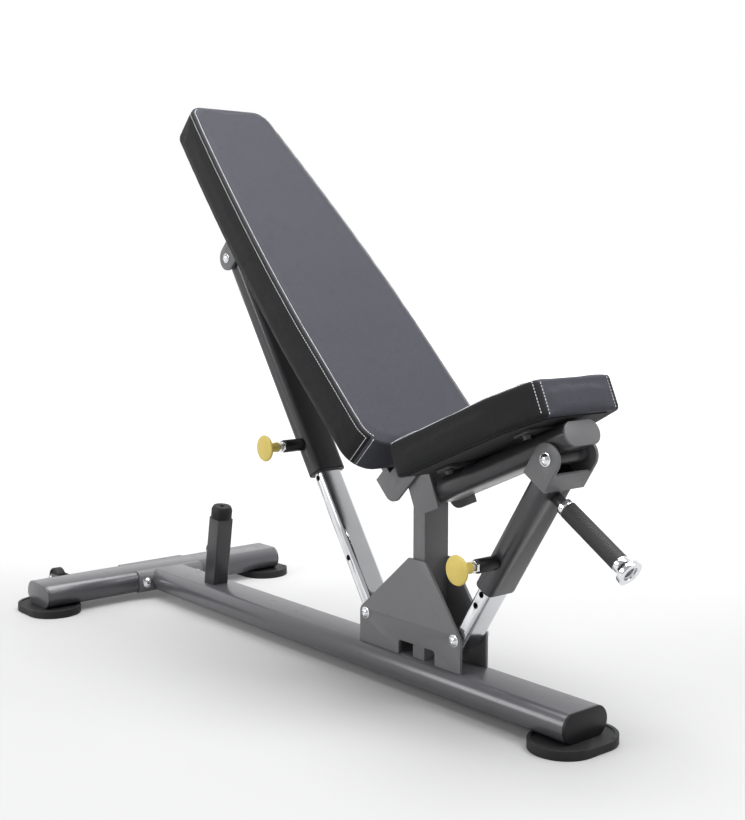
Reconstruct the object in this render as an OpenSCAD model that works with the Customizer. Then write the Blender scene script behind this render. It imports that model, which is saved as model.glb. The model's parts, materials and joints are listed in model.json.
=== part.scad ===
// Adjustable weight bench: T-shaped base, one hinge for seat and backrest,
// and a telescopic strut with a spring pin under each of them.
// X runs forward to the seat end, Y across the bench and Z up from the floor.

/* [Base frame] */
// Front face of the main beam to the centre line of the rear crossbar
beam_reach = 1299; // [1240:1:1340]
// Length of the rear crossbar
crossbar_length = 611; // [560:1:660]
// Width of the base tube
base_tube_w = 103; // [96:1:106]
// Height of the base tube
base_tube_h = 50; // [46:1:50]
// Height of the base tube above the floor, on its rubber feet
ground_clearance = 14; // [12:1:18]
// Wall of the base tube
base_wall = 3; // [2:0.5:4]

/* [Hinge] */
// Front face of the main beam to the hinge pin
hinge_setback = 361; // [355:1:370]
// Height of the hinge pin above the floor
hinge_height = 412; // [405:1:425]
// Radius of the hinge pin
hinge_pin_r = 10; // [8:0.5:11]

/* [Position] */
// Slope of the seat, 0 is flat
seat_angle = 23.5; // [1:0.5:23.5]
// Slope of the backrest, 0 is flat
back_angle = 44.5; // [0:0.5:75]

/* [Pads] */
// Length of the seat pad
seat_length = 322; // [300:1:330]
// Width of the seat pad at its widest
seat_width = 262; // [240:2:280]
// Thickness of the seat pad
seat_thickness = 62; // [50:1:64]
// Length of the backrest pad
back_length = 893; // [840:1:900]
// Width of the backrest pad at its widest
back_width = 284; // [260:2:300]
// Width of the backrest pad at its top end
back_top_width = 186; // [160:2:220]
// Thickness of the backrest pad
back_thickness = 75; // [60:1:76]

/* [Struts] */
// Height of both lower strut pins above the floor
lower_pin_height = 120; // [112:1:126]
// Front face of the main beam to the lower pin of the backrest strut
back_pin_setback = 500; // [480:1:510]
// Front face of the main beam to the lower pin of the seat strut
seat_pin_setback = 265; // [255:1:272]
// Width of the outer strut tubes
outer_w = 70; // [68:1:72]
// Depth of the outer strut tubes
outer_d = 40; // [38:1:40]
// Width of the chrome inner tubes
inner_w = 53; // [50:1:53]
// Depth of the chrome inner tubes
inner_d = 28; // [26:1:28]
// Distance between the locking holes of the seat strut
seat_hole_pitch = 25; // [24:1:26]

/* [Lifting handle] */
// Strut centre line to the end of the handle
handle_reach = 198; // [150:1:210]
// Diameter of the rubber grip
grip_d = 30; // [26:1:34]

/* [Hidden] */
$fn = 72;

// colours
paint = "#4c4c50";
plate_paint = "#6a6a6c";
chrome = "#d8dade";
steel = "#b9bcc2";
black = "#1d1d1f";
upholstery = "#4b4c54";
knob_yellow = "#e6d583";
backing = "#151516";

// base tube section
base_side_r = 26;
base_top = ground_clearance + base_tube_h;
base_mid = ground_clearance + base_tube_h / 2;
// centre of the round side to the centre line of the section
base_side_off = base_tube_w / 2 - base_side_r;

// wheels
wheel_r = 22.5;
wheel_w = 21;
wheel_setback = 96;
wheel_height = 45;
wheel_y = 212;
wheel_gap = 1;
bracket_t = 3;
bracket_r = 11;
axle_r = 4;

// flat spacings across the bench
gusset_t = 5.5;
post_w = 56;
post_d = 30;
post_wall = 3;
plate_t = 6;
seat_plate_y = 40;
back_plate_y = 46.5;
clevis_y = 41;
running = 0.05;

// seat carriage, in the seat's own frame: s forward from the hinge, n up from it
seat_pad_s = 44;
seat_pad_n = -31;
seat_tube_w = 80;
seat_tube_h = 40;
seat_tube_r = 20.8;
seat_tube_n = -57;
seat_tube_s0 = 20;
seat_tube_s1 = 350;
seat_cap_t = 5;
carriage_wall = 2.5;
tube_plug = 12;
seat_pin_s = 303;
seat_pin_n = -82;

// backrest, in its own frame: s up from the hinge, n forward from it
back_pad_s = 25;
back_pad_n = -42;
back_tube_w = 80;
back_tube_h = 36;
back_tube_r = 19;
back_tube_n = -65;
back_tube_s0 = 30;
back_tube_s1 = 780;
back_lug_s = 657;
back_lug_n = -143;
board_t = 12;
board_inset = 14;

// struts
bolt_r = 6;
bolt_play = 2;
washer_t = 1.5;
clevis_r = 26.5;
lug_r = 25;
seat_outer_top = 28;
seat_outer_len = 279;
seat_pin_drop = 218;
back_outer_len = 493;
back_pin_drop = 430;
back_inner_len = 500;
seat_inner_len = 250;
outer_wall = 2.5;
outer_corner = 13;
inner_wall = 3;
inner_corner = 9;
slide_gap = 0.5;
lock_hole_r = 5.5;

// spring pin
housing_r = 12;
housing_len = 43;
housing_wall = 3.5;
pin_r = 5;
knob_r = 25;
knob_out = 124;

// positions relative to the front face of the main beam
function in_seat(s, n) = [
    -hinge_setback + s * cos(seat_angle) - n * sin(seat_angle),
    hinge_height + s * sin(seat_angle) + n * cos(seat_angle)];
function in_back(s, n) = [
    -hinge_setback - s * cos(back_angle) + n * sin(back_angle),
    hinge_height + s * sin(back_angle) + n * cos(back_angle)];
seat_top = in_seat(seat_pin_s, seat_pin_n);
seat_low = [-seat_pin_setback, lower_pin_height];
back_top = in_back(back_lug_s, back_lug_n);
back_low = [-back_pin_setback, lower_pin_height];
seat_strut_len = norm(seat_top - seat_low);
back_strut_len = norm(back_top - back_low);
seat_lean = atan2(seat_top[0] - seat_low[0], seat_top[1] - seat_low[1]);
back_lean = atan2(back_top[0] - back_low[0], back_top[1] - back_low[1]);
seat_pin_at = seat_strut_len - seat_pin_drop;
back_pin_at = back_strut_len - back_pin_drop;

// handle, square to the seat strut below its clevis
handle_drop = 67;
flange_r = 22;
handle_root = [
    seat_top[0] - handle_drop * sin(seat_lean),
    seat_top[1] - handle_drop * cos(seat_lean)];
handle_tip = handle_root[0] + handle_reach * cos(seat_lean) + flange_r * sin(seat_lean);

// the origin is on the floor at the middle of the whole bench
rear_reach = beam_reach + wheel_setback + wheel_r;
front_x = (rear_reach - handle_tip) / 2;
crossbar_x = front_x - beam_reach;
hinge_x = front_x - hinge_setback;
seat_low_x = front_x - seat_pin_setback;
back_low_x = front_x - back_pin_setback;

// backrest hole positions for these slopes of the backrest
back_steps = [0, 30, 44.5, 60, 75];
lug_radius = norm([back_lug_s, back_lug_n]);
lug_sink = atan2(-back_lug_n, back_lug_s);
low_radius = norm([hinge_setback - back_pin_setback, hinge_height - lower_pin_height]);
low_slope = atan2(hinge_height - lower_pin_height, back_pin_setback - hinge_setback);
function strut_at(a) = sqrt(
    lug_radius ^ 2 + low_radius ^ 2
    - 2 * lug_radius * low_radius * cos(low_slope + a - lug_sink));

// ---- shared shapes ----

// flat top and bottom, round sides
module flat_oval(w, h, r) {
    intersection() {
        square([w, h], center = true);
        union() {
            square([w - 1.6 * r, h], center = true);
            for (side = [-1, 1])
                translate([side * (w / 2 - r), 0])
                    circle(r = r);
        }
    }
}

module rounded_rect(w, h, r) {
    square([w - 2 * r, h], center = true);
    square([w, h - 2 * r], center = true);
    for (x = [-1, 1], y = [-1, 1])
        translate([x * (w / 2 - r), y * (h / 2 - r)])
            circle(r = r);
}

// extrude along +X, the outline lies in Y and Z
module along_x(length) {
    rotate([90, 0, 90])
        linear_extrude(length)
            children();
}

// extrude along Y, centred, the outline lies in X and Z
module along_y(length) {
    rotate([90, 0, 0])
        linear_extrude(length, center = true)
            children();
}

// a round bar from y0 to y1 across the bench
module cross_bar(r, y0, y1) {
    translate([0, y0, 0])
        rotate([-90, 0, 0])
            cylinder(r = r, h = y1 - y0);
}

module cross_tube(r, bore, half) {
    difference() {
        cross_bar(r, -half, half);
        cross_bar(bore, -half - 1, half + 1);
    }
}

// the same thing on both sides of the centre plane
module both_sides() {
    children();
    mirror([0, 1, 0])
        children();
}

// a flat plate in the X-Z plane, its inner face at y and its outer face at y + t
module side_plate(y, t) {
    translate([0, y + t, 0])
        rotate([90, 0, 0])
            linear_extrude(t)
                children();
}

module hex_head(r, h) {
    rotate([-90, 0, 0])
        cylinder(r = r, h = h, $fn = 6);
}

// button head with a hexagon socket
module dome_head(r, h) {
    ball = (r * r + h * h) / (2 * h);
    rotate([-90, 0, 0])
        difference() {
            intersection() {
                cylinder(r = r, h = h);
                translate([0, 0, h - ball])
                    sphere(r = ball);
            }
            translate([0, 0, h / 2])
                cylinder(r = r * 0.45, h = h, $fn = 6);
        }
}

module at_hinge() {
    translate([hinge_x, 0, hinge_height])
        children();
}

// seat frame: +X forward along the seat, +Z square to it
module on_seat() {
    at_hinge()
        rotate([0, -seat_angle, 0])
            children();
}

// backrest frame: -X up along the backrest, +Z out of its front
module on_back() {
    at_hinge()
        rotate([0, back_angle, 0])
            children();
}

// strut frames: +Z up along the strut from its lower pin
module on_seat_strut() {
    translate([seat_low_x, 0, lower_pin_height])
        rotate([0, seat_lean, 0])
            children();
}

module on_back_strut() {
    translate([back_low_x, 0, lower_pin_height])
        rotate([0, back_lean, 0])
            children();
}

// ---- base ----

module base_section(wall = 0) {
    flat_oval(base_tube_w - 2 * wall, base_tube_h - 2 * wall, base_side_r - wall);
}

foot_screw_r = 5;
front_foot_x = front_x - 26;
rear_foot_y = crossbar_length / 2 - 26;
end_cap_t = 4;
cap_plug = 14;
cap_plug_t = 2.5;
saddle_t = 5;
saddle_half = 83;
saddle_bolt_y = 65;
bumper_x = front_x - 1058;
bumper_lean = 9.5;
bumper_side = 38;
bumper_post_len = 150;
bumper_sink = 10;
bumper_wall = 3;

module foot_screw_holes(r) {
    translate([front_foot_x, 0, 0])
        cylinder(r = r, h = base_mid);
    for (side = [-1, 1])
        translate([crossbar_x, side * rear_foot_y, 0])
            cylinder(r = r, h = base_mid);
}

module main_beam() {
    beam_rear = crossbar_x + base_side_off;
    color(paint)
        difference() {
            translate([beam_rear, 0, base_mid])
                along_x(front_x - end_cap_t - beam_rear)
                    difference() {
                        base_section();
                        base_section(base_wall);
                    }
            translate([beam_rear, 0, base_mid])
                cross_bar(base_side_r + saddle_t, -base_tube_w, base_tube_w);
            foot_screw_holes(foot_screw_r + running);
        }
}

module beam_end_cap() {
    color(black)
        translate([front_x - end_cap_t, 0, base_mid]) {
            along_x(end_cap_t)
                base_section();
            translate([-cap_plug, 0, 0])
                along_x(cap_plug)
                    difference() {
                        base_section(base_wall + running);
                        base_section(base_wall + cap_plug_t);
                    }
        }
}

module rear_crossbar() {
    color(paint)
        difference() {
            translate([crossbar_x, 0, base_mid])
                along_y(crossbar_length - 2 * end_cap_t)
                    difference() {
                        base_section();
                        base_section(base_wall);
                    }
            foot_screw_holes(foot_screw_r + running);
            for (side = [-1, 1])
                translate([crossbar_x - base_tube_w, side * saddle_bolt_y, base_mid])
                    rotate([0, 90, 0])
                        cylinder(r = bolt_r + running, h = 2 * base_tube_w);
        }
}

module crossbar_end_caps() {
    color(paint)
        both_sides()
            translate([crossbar_x, crossbar_length / 2 - end_cap_t / 2, base_mid]) {
                along_y(end_cap_t)
                    base_section();
                translate([0, -(end_cap_t + cap_plug) / 2, 0])
                    along_y(cap_plug)
                        difference() {
                            base_section(base_wall + running);
                            base_section(base_wall + cap_plug_t);
                        }
            }
}

// curved plates that hug the front and the back of the crossbar
module saddle_plates() {
    color(plate_paint)
        for (face = [-1, 1])
            difference() {
                translate([crossbar_x, 0, base_mid])
                    along_y(2 * saddle_half)
                        intersection() {
                            translate([face * base_side_off, 0])
                                difference() {
                                    circle(r = base_side_r + saddle_t);
                                    circle(r = base_side_r);
                                }
                            translate([face * base_tube_w / 2, 0])
                                square([base_tube_w / 2, base_tube_h - 1], center = true);
                        }
                for (side = [-1, 1])
                    translate([crossbar_x - base_tube_w, side * saddle_bolt_y, base_mid])
                        rotate([0, 90, 0])
                            cylinder(r = bolt_r + running, h = 2 * base_tube_w);
            }
}

module saddle_bolts() {
    reach = base_tube_w / 2 + saddle_t;
    color(chrome)
        for (side = [-1, 1])
            translate([crossbar_x, side * saddle_bolt_y, base_mid])
                rotate([0, 0, -90]) {
                    cross_bar(bolt_r, -reach - 10, reach);
                    translate([0, reach, 0])
                        cross_bar(12, 0, washer_t);
                    translate([0, reach + washer_t, 0])
                        dome_head(10, 5.5);
                    translate([0, -reach - 8, 0])
                        hex_head(10, 8);
                }
}

// rubber foot: a tray that is longer across the tube than along it
foot_r = 57;
foot_stretch = 24;
foot_rim_h = ground_clearance + 2;
foot_seat_h = ground_clearance;
module foot() {
    difference() {
        linear_extrude(foot_rim_h)
            foot_outline(0);
        translate([0, 0, foot_seat_h])
            linear_extrude(foot_rim_h)
                foot_outline(7);
        translate([0, 0, -1])
            cylinder(r = 11, h = 8);
        translate([0, 0, -1])
            cylinder(r = foot_screw_r + running, h = foot_rim_h + 2);
    }
}

module foot_outline(inset) {
    square([2 * (foot_r - inset), 2 * foot_stretch], center = true);
    for (end = [-1, 1])
        translate([0, end * foot_stretch])
            circle(r = foot_r - inset);
}

// the base tubes' outer shape, which the feet's rims make room for
module base_room() {
    translate([crossbar_x, 0, base_mid])
        along_x(front_x - crossbar_x + base_tube_w)
            base_section();
    translate([crossbar_x, 0, base_mid])
        along_y(2 * crossbar_length)
            base_section();
}

module rubber_feet() {
    color(black)
        difference() {
            union() {
                translate([front_foot_x, 0, 0])
                    foot();
                for (side = [-1, 1])
                    translate([crossbar_x, side * rear_foot_y, 0])
                        rotate([0, 0, 90])
                            foot();
            }
            base_room();
        }
}

module foot_screw() {
    translate([0, 0, 2])
        cylinder(r = 9, h = 5);
    translate([0, 0, 2])
        cylinder(r = foot_screw_r, h = 24);
}

module foot_screws() {
    color(steel) {
        translate([front_foot_x, 0, 0])
            foot_screw();
        for (side = [-1, 1])
            translate([crossbar_x, side * rear_foot_y, 0])
                foot_screw();
    }
}

// the two plates that brace the post and hold the lower strut pins
gusset_top = 243;
gusset_rear_r = 17;
gusset_front_r = 15;
notch_top = 90;
module gusset_outline() {
    rear = back_low_x;
    front = seat_low_x;
    low = lower_pin_height;
    peak_rear = hinge_x - 22;
    peak_front = hinge_x + 22;
    rear_slope = atan2(gusset_top - low, peak_rear - rear)
        + asin(gusset_rear_r / norm([gusset_top - low, peak_rear - rear]));
    front_slope = atan2(gusset_top - low, front - peak_front)
        + asin(gusset_front_r / norm([gusset_top - low, front - peak_front]));
    difference() {
        union() {
            polygon([
                [rear - gusset_rear_r, base_top],
                [rear - gusset_rear_r, low],
                [rear - gusset_rear_r * sin(rear_slope),
                    low + gusset_rear_r * cos(rear_slope)],
                [peak_rear, gusset_top],
                [peak_front, gusset_top],
                [front + gusset_front_r * sin(front_slope),
                    low + gusset_front_r * cos(front_slope)],
                [front + gusset_front_r, low],
                [front + gusset_front_r, base_top]]);
            translate([rear, low])
                circle(r = gusset_rear_r);
            translate([front, low])
                circle(r = gusset_front_r);
        }
        translate([hinge_x, base_top])
            rounded_rect(95, 2 * (notch_top - base_top), 6);
        translate([rear, low])
            circle(r = bolt_r + running);
        translate([front, low])
            circle(r = bolt_r + running);
    }
}

module gusset_plates() {
    color(plate_paint)
        both_sides()
            side_plate(post_w / 2, gusset_t)
                gusset_outline();
}

sleeve_r = 16;
sleeve_half = 38.5;
bush_r = 12.5;
module centre_post() {
    color(plate_paint)
        difference() {
            translate([hinge_x, 0, base_top])
                linear_extrude(hinge_height - base_top)
                    difference() {
                        square([post_d, post_w], center = true);
                        square([post_d - 2 * post_wall, post_w - 2 * post_wall], center = true);
                    }
            at_hinge()
                cross_bar(sleeve_r, -post_w, post_w);
        }
}

module hinge_sleeve() {
    color(paint)
        at_hinge()
            cross_tube(sleeve_r, bush_r, sleeve_half);
}

module hinge_bushes() {
    color(black)
        at_hinge()
            both_sides()
                difference() {
                    union() {
                        cross_bar(bush_r, 14, sleeve_half);
                        cross_bar(sleeve_r - 1, sleeve_half, sleeve_half + 1);
                    }
                    cross_bar(hinge_pin_r + running, 0, sleeve_half + 2);
                }
}

hinge_pin_half = back_plate_y + plate_t + 1;
module hinge_pin() {
    color(chrome)
        at_hinge() {
            cross_bar(hinge_pin_r, -hinge_pin_half, hinge_pin_half + 9);
            translate([0, -hinge_pin_half, 0])
                mirror([0, 1, 0])
                    dome_head(15, 6);
        }
}

module hinge_nut() {
    color(steel)
        at_hinge()
            difference() {
                union() {
                    cross_bar(15, hinge_pin_half, hinge_pin_half + washer_t);
                    translate([0, hinge_pin_half + washer_t, 0])
                        hex_head(15, 9);
                }
                cross_bar(hinge_pin_r, hinge_pin_half - 1, hinge_pin_half + 20);
            }
}

// post with a rubber cap that carries the backrest strut when the bench is flat
module on_bumper() {
    translate([bumper_x, 0, base_top])
        rotate([0, bumper_lean, 0])
            children();
}

module bumper_post() {
    color(plate_paint)
        difference() {
            on_bumper()
                translate([0, 0, -bumper_sink])
                    linear_extrude(bumper_post_len + bumper_sink)
                        difference() {
                            rounded_rect(bumper_side, bumper_side, bumper_wall);
                            square(bumper_side - 2 * bumper_wall, center = true);
                        }
            translate([bumper_x - 50, -50, base_top - 50])
                cube([100, 100, 50]);
        }
}

module bumper_cap() {
    color(black)
        on_bumper()
            translate([0, 0, bumper_post_len])
                rotate_extrude()
                    polygon([[5, 0], [22.5, 0], [22.5, 20], [19, 27], [5, 27]]);
}

// ---- transport wheels ----

module wheel_brackets() {
    color(paint)
        for (side = [-1, 1], half = [-1, 1])
            translate([0, side * wheel_y + half * (wheel_w / 2 + wheel_gap + bracket_t / 2), 0])
                difference() {
                    along_y(bracket_t)
                        difference() {
                            union() {
                                translate([crossbar_x - wheel_setback, wheel_height])
                                    circle(r = bracket_r);
                                translate([crossbar_x - wheel_setback, wheel_height - bracket_r])
                                    square([wheel_setback - base_side_off, 2 * bracket_r]);
                            }
                            translate([crossbar_x - base_side_off, base_mid])
                                circle(r = base_side_r);
                        }
                    translate([crossbar_x - wheel_setback, 0, wheel_height])
                        cross_bar(axle_r + running, -wheel_w, wheel_w);
                }
}

module wheel_axles() {
    half = wheel_w / 2 + wheel_gap + bracket_t;
    color(steel)
        for (side = [-1, 1])
            translate([crossbar_x - wheel_setback, side * wheel_y, wheel_height]) {
                cross_bar(axle_r, -half, half);
                translate([0, half, 0])
                    hex_head(7, 5);
                translate([0, -half, 0])
                    mirror([0, 1, 0])
                        hex_head(7, 5);
            }
}

module wheel(side) {
    color(black)
        translate([crossbar_x - wheel_setback, side * wheel_y, wheel_height])
            rotate([90, 0, 0])
                rotate_extrude()
                    polygon([
                        [axle_r + running, -wheel_w / 2], [9, -wheel_w / 2],
                        [11, 3 - wheel_w / 2], [17, 3 - wheel_w / 2],
                        [18, -wheel_w / 2], [wheel_r - 1.5, -wheel_w / 2],
                        [wheel_r, 1.5 - wheel_w / 2], [wheel_r, wheel_w / 2 - 1.5],
                        [wheel_r - 1.5, wheel_w / 2], [18, wheel_w / 2],
                        [17, wheel_w / 2 - 3], [11, wheel_w / 2 - 3],
                        [9, wheel_w / 2], [axle_r + running, wheel_w / 2]]);
}

module left_wheel() wheel(-1);
module right_wheel() wheel(1);

// a bolt through both gusset plates, with a washer inside and outside each plate
module strut_bolt(half) {
    cross_bar(bolt_r, -half - 2, half + 12);
    for (side = [0, 1])
        mirror([0, side, 0]) {
            translate([0, half, 0])
                difference() {
                    cross_bar(11, 0, washer_t);
                    cross_bar(bolt_r, -1, 2 * washer_t);
                }
        }
    translate([0, -half - washer_t, 0])
        mirror([0, 1, 0])
            dome_head(9.5, 5.5);
    translate([0, half + washer_t, 0])
        hex_head(9.5, 8);
}

module lower_strut_bolts() {
    color(chrome)
        for (x = [back_low_x, seat_low_x])
            translate([x, 0, lower_pin_height])
                strut_bolt(post_w / 2 + gusset_t);
}

// ---- backrest ----

// half width of the backrest pad at a distance from its lower end
back_full_part = 260;
function back_half(t) = back_width / 2
    - (back_width - back_top_width) / 2
    * max(0, (t - back_full_part) / (back_length - back_full_part)) ^ 1.6;

module back_outline(inset) {
    steps = 14;
    corner = 52 - inset;
    end_r = 34 - inset / 2;
    low = inset + corner;
    high = back_length - inset - end_r;
    hi_half = back_half(high) - inset - end_r;
    stations = [for (i = [0:steps]) low + (high - low) * i / steps];
    // wide part, from the lower corners to the top corners
    polygon(concat(
        [for (t = stations) [-t, back_half(t) - inset]],
        [for (i = [steps:-1:0]) [-stations[i], -back_half(stations[i]) + inset]]));
    // lower end
    translate([-low - 1, -back_half(0) + inset + corner])
        square([low + 1 - inset, 2 * (back_half(0) - inset - corner)]);
    for (side = [-1, 1]) {
        translate([-low, side * (back_half(0) - inset - corner)])
            circle(r = corner);
        translate([-high, side * hi_half])
            circle(r = end_r);
    }
    translate([-back_length + inset, -hi_half])
        square([end_r + 1, 2 * hi_half]);
}

module backrest_pad() {
    color(upholstery)
        on_back()
            translate([-back_pad_s, 0, back_pad_n])
                difference() {
                    linear_extrude(back_thickness)
                        back_outline(0);
                    translate([0, 0, -1])
                        linear_extrude(board_t + 1)
                            back_outline(board_inset);
                }
}

module backrest_board() {
    color(backing)
        on_back()
            difference() {
                translate([-back_pad_s, 0, back_pad_n])
                    linear_extrude(board_t)
                        back_outline(board_inset);
                screw_holes(back_straps, back_screw_y, back_pad_n, -1);
            }
}

module back_tube_section(wall = 0) {
    flat_oval(back_tube_w - 2 * wall, back_tube_h - 2 * wall, back_tube_r - wall);
}

module backrest_tube() {
    color(paint)
        on_back()
            translate([-back_tube_s1, 0, back_tube_n])
                along_x(back_tube_s1 - back_tube_s0)
                    difference() {
                        back_tube_section();
                        back_tube_section(carriage_wall);
                    }
}

module backrest_tube_caps() {
    color(black)
        on_back() {
            translate([-back_tube_s1 - end_cap_t, 0, back_tube_n])
                along_x(end_cap_t)
                    back_tube_section();
            translate([-back_tube_s0 - tube_plug, 0, back_tube_n])
                along_x(tube_plug)
                    back_tube_section(carriage_wall + running);
        }
}

// flat bars across the tubes, under the boards, that take the pad screws
strap_w = 40;
back_strap_t = 5;
back_straps = [150, 690];
back_strap_half = 78;
back_screw_y = 62;
seat_strap_t = 6;
seat_straps_at = [100, 290];
seat_strap_half = 72;
seat_screw_y = 58;
pad_screw_r = 4;
screw_bite = 8;
module strap(half, screw_y, t) {
    linear_extrude(t)
        difference() {
            rounded_rect(strap_w, 2 * half, 8);
            for (side = [-1, 1])
                translate([0, side * screw_y])
                    circle(r = pad_screw_r);
        }
}

module backrest_straps() {
    color(paint)
        on_back()
            for (s = back_straps)
                translate([-s, 0, back_pad_n - back_strap_t])
                    strap(back_strap_half, back_screw_y, back_strap_t);
}

// pad screws, their heads under the strap and their points in the board
module pad_screws(stations, y, n, strap_t, dir) {
    for (s = stations, side = [-1, 1])
        translate([dir * s, side * y, n - strap_t]) {
            translate([0, 0, -2])
                cylinder(r = 8, h = 2);
            translate([0, 0, -7])
                cylinder(r = 7, h = 5, $fn = 6);
            cylinder(r = pad_screw_r, h = strap_t + screw_bite);
        }
}

module screw_holes(stations, y, n, dir) {
    for (s = stations, side = [-1, 1])
        translate([dir * s, side * y, n - 1])
            cylinder(r = pad_screw_r, h = screw_bite + 1);
}

module backrest_screws() {
    color(paint)
        on_back()
            pad_screws(back_straps, back_screw_y, back_pad_n, back_strap_t, -1);
}

// hinge plate outline: round over the pin, with a heel behind it and a toe
// under the tube, which lies towards +X
plate_round_r = 24;
heel_r = 23;
toe_reach = 37;
toe_low = 87;
module hinge_plate_outline() {
    heel = [-1, heel_r - toe_low];
    difference() {
        union() {
            circle(r = plate_round_r);
            translate(heel)
                circle(r = heel_r);
            polygon([
                [-plate_round_r, 0], [heel[0] - heel_r, heel[1]],
                [22, heel[1]], [22, 0]]);
            translate([heel[0], -toe_low])
                square([toe_reach - heel[0], 38]);
            children();
        }
        circle(r = hinge_pin_r + running);
    }
}

tongue_s0 = 30;
tongue_s1 = 110;
tongue_n = -62;
tongue_h = 12;
packing_len = 60;
packing_y = 30;
module backrest_plates() {
    color(plate_paint)
        on_back()
            both_sides() {
                side_plate(back_plate_y, plate_t)
                    union() {
                        mirror([1, 0])
                            hinge_plate_outline();
                        translate([-tongue_s1, tongue_n])
                            square([tongue_s1 - tongue_s0, tongue_h]);
                    }
                // packing between the tube and the plate
                difference() {
                    side_plate(packing_y, back_plate_y - packing_y)
                        translate([-tongue_s1, tongue_n])
                            square([packing_len, tongue_h]);
                    translate([-back_tube_s1, 0, back_tube_n])
                        along_x(back_tube_s1)
                            back_tube_section();
                }
            }
}

module backrest_lugs() {
    color(plate_paint)
        on_back()
            both_sides()
                difference() {
                    side_plate(seat_plate_y, plate_t)
                        union() {
                            translate([-back_lug_s, back_lug_n])
                                circle(r = lug_r);
                            translate([-back_lug_s - lug_r, back_lug_n])
                                square([2 * lug_r, back_tube_n - back_lug_n + 10]);
                        }
                    translate([-back_lug_s, 0, back_lug_n])
                        cross_bar(bolt_r + running, 0, 60);
                }
}

// the heads and shanks that fill the lugs; the middle of the bolt is back_top_pin
module backrest_lug_bolts() {
    outer = seat_plate_y + plate_t;
    color(chrome)
        on_back()
            translate([-back_lug_s, 0, back_lug_n]) {
                for (side = [0, 1])
                    mirror([0, side, 0]) {
                        cross_bar(bolt_r, seat_plate_y, outer + washer_t);
                        translate([0, outer, 0])
                            cross_bar(10, 0, washer_t);
                    }
                translate([0, -outer - washer_t, 0])
                    mirror([0, 1, 0])
                        dome_head(9, 5);
                translate([0, outer + washer_t, 0])
                    hex_head(9.5, 8);
            }
}

// ---- seat ----

module seat_outline(inset) {
    half = seat_width / 2 - inset;
    nose = 75 - inset;
    nose_r = 22 - inset / 2;
    taper_s = 245;
    rear_r = 14 - inset / 2;
    nose_s = seat_length - inset - nose_r;
    hip_half = half - 13;
    polygon([
        [rear_r + inset, -half], [taper_s, -hip_half],
        [nose_s + nose_r * 0.55, -nose - nose_r * 0.83],
        [nose_s + nose_r * 0.55, nose + nose_r * 0.83],
        [taper_s, hip_half], [rear_r + inset, half]]);
    translate([inset, -half + rear_r])
        square([rear_r + 1, 2 * (half - rear_r)]);
    for (side = [-1, 1]) {
        translate([inset + rear_r, side * (half - rear_r)])
            circle(r = rear_r);
        translate([nose_s, side * nose])
            circle(r = nose_r);
    }
    translate([nose_s - 1, -nose])
        square([nose_r + 1, 2 * nose]);
}

module seat_pad() {
    color(upholstery)
        on_seat()
            translate([seat_pad_s, 0, seat_pad_n])
                difference() {
                    linear_extrude(seat_thickness)
                        seat_outline(0);
                    translate([0, 0, -1])
                        linear_extrude(board_t + 1)
                            seat_outline(board_inset);
                }
}

module seat_board() {
    color(backing)
        on_seat()
            difference() {
                translate([seat_pad_s, 0, seat_pad_n])
                    linear_extrude(board_t)
                        seat_outline(board_inset);
                screw_holes(seat_straps_at, seat_screw_y, seat_pad_n, 1);
            }
}

module seat_tube_section(wall = 0) {
    flat_oval(seat_tube_w - 2 * wall, seat_tube_h - 2 * wall, seat_tube_r - wall);
}

module seat_tube() {
    color(paint)
        on_seat()
            difference() {
                translate([seat_tube_s0, 0, seat_tube_n])
                    along_x(seat_tube_s1 - seat_cap_t - seat_tube_s0)
                        difference() {
                            seat_tube_section();
                            seat_tube_section(carriage_wall);
                        }
                translate([seat_pin_s, 0, seat_pin_n])
                    cross_bar(11, -60, 60);
            }
}

module seat_tube_caps() {
    color(plate_paint)
        on_seat() {
            translate([seat_tube_s1 - seat_cap_t, 0, seat_tube_n])
                along_x(seat_cap_t)
                    seat_tube_section();
            translate([seat_tube_s0, 0, seat_tube_n])
                along_x(tube_plug)
                    seat_tube_section(carriage_wall + running);
        }
}

module seat_straps() {
    color(paint)
        on_seat()
            for (s = seat_straps_at)
                translate([s, 0, seat_pad_n - seat_strap_t])
                    strap(seat_strap_half, seat_screw_y, seat_strap_t);
}

module seat_screws() {
    color(paint)
        on_seat()
            pad_screws(seat_straps_at, seat_screw_y, seat_pad_n, seat_strap_t, 1);
}

module seat_plates() {
    color(plate_paint)
        on_seat()
            both_sides()
                side_plate(seat_plate_y, plate_t)
                    hinge_plate_outline()
                        translate([10, -toe_low])
                            square([toe_reach - 10, toe_low]);
}

// cross tube let into the underside of the seat tube; its bore has play
module seat_strut_bush() {
    color(paint)
        on_seat()
            translate([seat_pin_s, 0, seat_pin_n])
                cross_tube(11, bolt_r + bolt_play, seat_plate_y);
}

// ---- telescopic struts ----

module outer_section(shrink = 0) {
    rounded_rect(outer_d - 2 * shrink, outer_w - 2 * shrink, outer_corner - shrink);
}

module inner_section(shrink = 0) {
    rounded_rect(inner_d - 2 * shrink, inner_w - 2 * shrink, inner_corner - shrink);
}

// the outer tube from z0 to z1, with a hole for the spring pin
module outer_tube(z0, z1, pin_z) {
    difference() {
        translate([0, 0, z0])
            linear_extrude(z1 - z0)
                difference() {
                    outer_section();
                    outer_section(outer_wall);
                }
        translate([0, 0, pin_z])
            cross_bar(pin_r + 0.5, -outer_w, 0);
    }
}

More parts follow.
